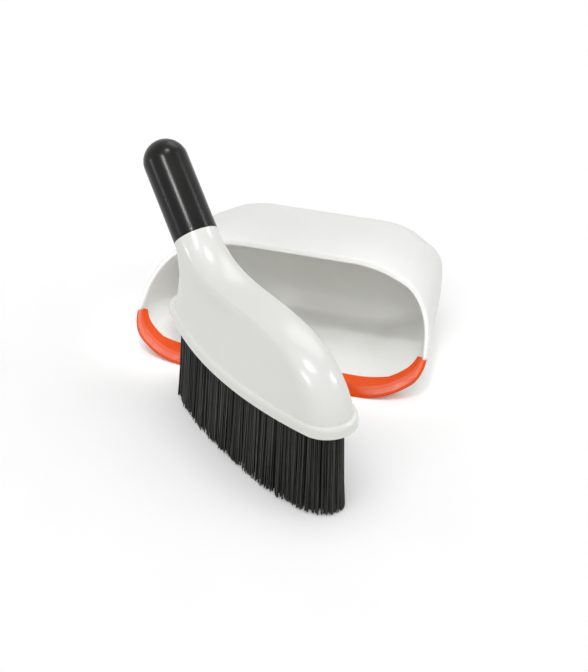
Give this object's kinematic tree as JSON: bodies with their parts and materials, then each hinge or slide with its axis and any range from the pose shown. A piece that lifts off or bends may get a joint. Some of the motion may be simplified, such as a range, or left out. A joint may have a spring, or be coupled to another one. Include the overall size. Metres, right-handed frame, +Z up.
{
  "type": "dust pan and brush set",
  "caption": "Hooded scoop dust pan with a soft rubber lip, and a hand brush with a flowing moulded body and sleeved grip, standing on its bristles in front of the pan.",
  "frame": {"origin": "on the floor plane under the pan, 68 mm behind the mouth's front edge, on the pan's middle plane", "axes": "+X across the pan to the right, the pan's mouth faces -Y, +Z up from the floor"},
  "size_m": [0.2134, 0.285, 0.1708],
  "materials": {
    "pan_plastic": "satin",
    "lip_rubber": "satin",
    "brush_plastic": "gloss",
    "grip_rubber": "satin",
    "anchor_wire": "drawn",
    "bristle": "matte"
  },
  "bodies": {
    "pan": {"pan_shell": "pan_plastic", "pan_lip": "lip_rubber"},
    "brush": {"brush_shell": "brush_plastic", "brush_base": "brush_plastic", "grip": "grip_rubber", "tuft_anchors": "anchor_wire", "bristles_row_1": "bristle", "bristles_row_2": "bristle", "bristles_row_3": "bristle", "bristles_row_4": "bristle", "bristles_row_5": "bristle"}
  },
  "joints": [
    {"name": "brush_lift", "type": "slide", "parent": "pan", "child": "brush", "axis": [0, 0, 1], "range_m": [0, 0.15]}
  ]
}
